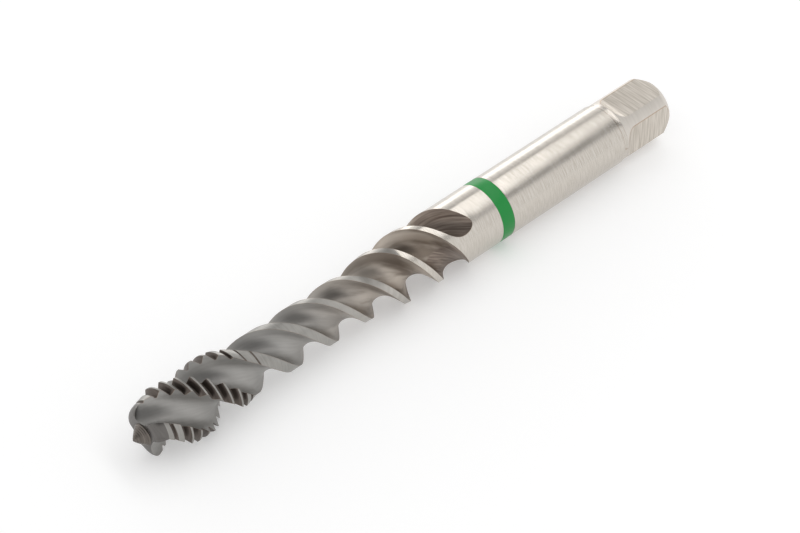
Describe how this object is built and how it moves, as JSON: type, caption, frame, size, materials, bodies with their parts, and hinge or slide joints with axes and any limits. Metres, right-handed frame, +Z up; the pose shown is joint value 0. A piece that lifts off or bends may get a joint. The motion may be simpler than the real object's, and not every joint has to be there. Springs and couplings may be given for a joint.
{
  "type": "machine tap",
  "caption": "Spiral flute machine tap: tapered cutting thread on a relieved neck, round ground shank with a colour ring, and a driving square.",
  "frame": {"origin": "on the surface the tap lies on, under the middle of its length", "axes": "+X along the tap's axis from the point to the driving square, +Z up"},
  "size_m": [0.1036, 0.01, 0.01],
  "materials": {
    "tool_steel": "ground high speed steel, bright on the shank, darker in the flutes and thread",
    "ring_lacquer": "glossy green lacquer band"
  },
  "bodies": {
    "root": {"tap": "tool_steel", "colour_ring": "ring_lacquer"}
  },
  "joints": []
}
